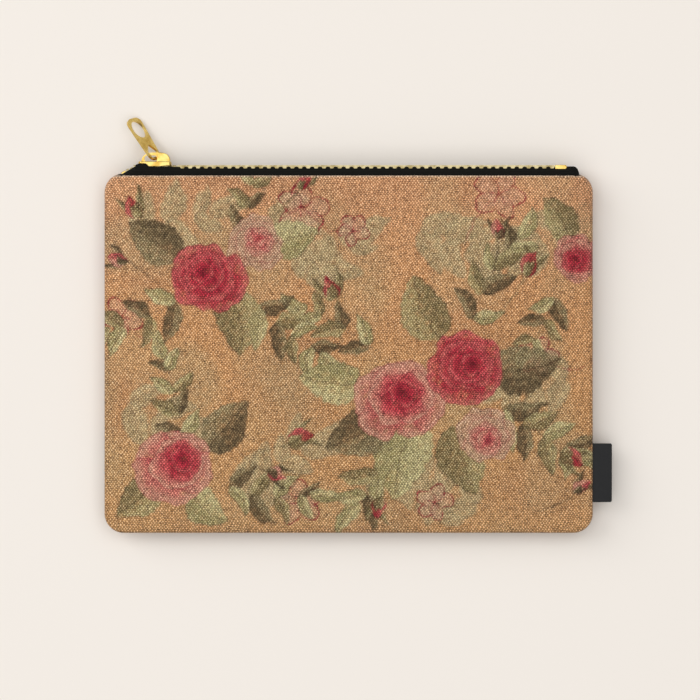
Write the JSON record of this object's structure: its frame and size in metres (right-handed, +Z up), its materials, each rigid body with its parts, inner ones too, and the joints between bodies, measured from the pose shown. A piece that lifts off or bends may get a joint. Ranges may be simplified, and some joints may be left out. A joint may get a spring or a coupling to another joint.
{
  "type": "zip pouch",
  "caption": "Flat lined cloth pouch with a metal zip along its long top edge, a sliding zip slider with a swinging pull tab, and a folded side label.",
  "frame": {"origin": "middle of the flat underside of the cloth body, where it rests on a table", "axes": "+Z up from the table through the front panel, +Y from the bottom seam to the mouth and its zip, +X along the zip from the slider's closed place to the bottom stop"},
  "size_m": [0.2245, 0.1844, 0.019],
  "materials": {
    "printed_cloth": "coarse plain weave with a printed pattern of roses and leaf sprays",
    "lining_cloth": "plain black cotton lining",
    "zip_tape": "black woven tape with a corded edge",
    "zip_metal": "bright yellow metal, smooth",
    "label_cloth": "charcoal woven label, bare"
  },
  "bodies": {
    "pouch": {"front_panel": "printed_cloth", "back_panel": "printed_cloth", "front_lining": "lining_cloth", "back_lining": "lining_cloth", "front_zipper_tape": "zip_tape", "back_zipper_tape": "zip_tape", "front_teeth": "zip_metal", "back_teeth": "zip_metal", "front_top_stop": "zip_metal", "back_top_stop": "zip_metal", "bottom_stop": "zip_metal", "side_label": "label_cloth"},
    "slider": {"slider_body": "zip_metal"},
    "pull": {"pull_tab": "zip_metal"}
  },
  "joints": [
    {"name": "slider_run", "type": "slide", "parent": "pouch", "child": "slider", "axis": [1, 0, 0], "range_m": [0, 0.1689], "deforming": ["front_teeth", "back_teeth"]},
    {"name": "pull_swing", "type": "hinge", "parent": "slider", "child": "pull", "pos_m": [-0.0861, 0.08615, 0.0085], "axis": [0, 0, 1], "range_deg": [-80, 22]}
  ]
}
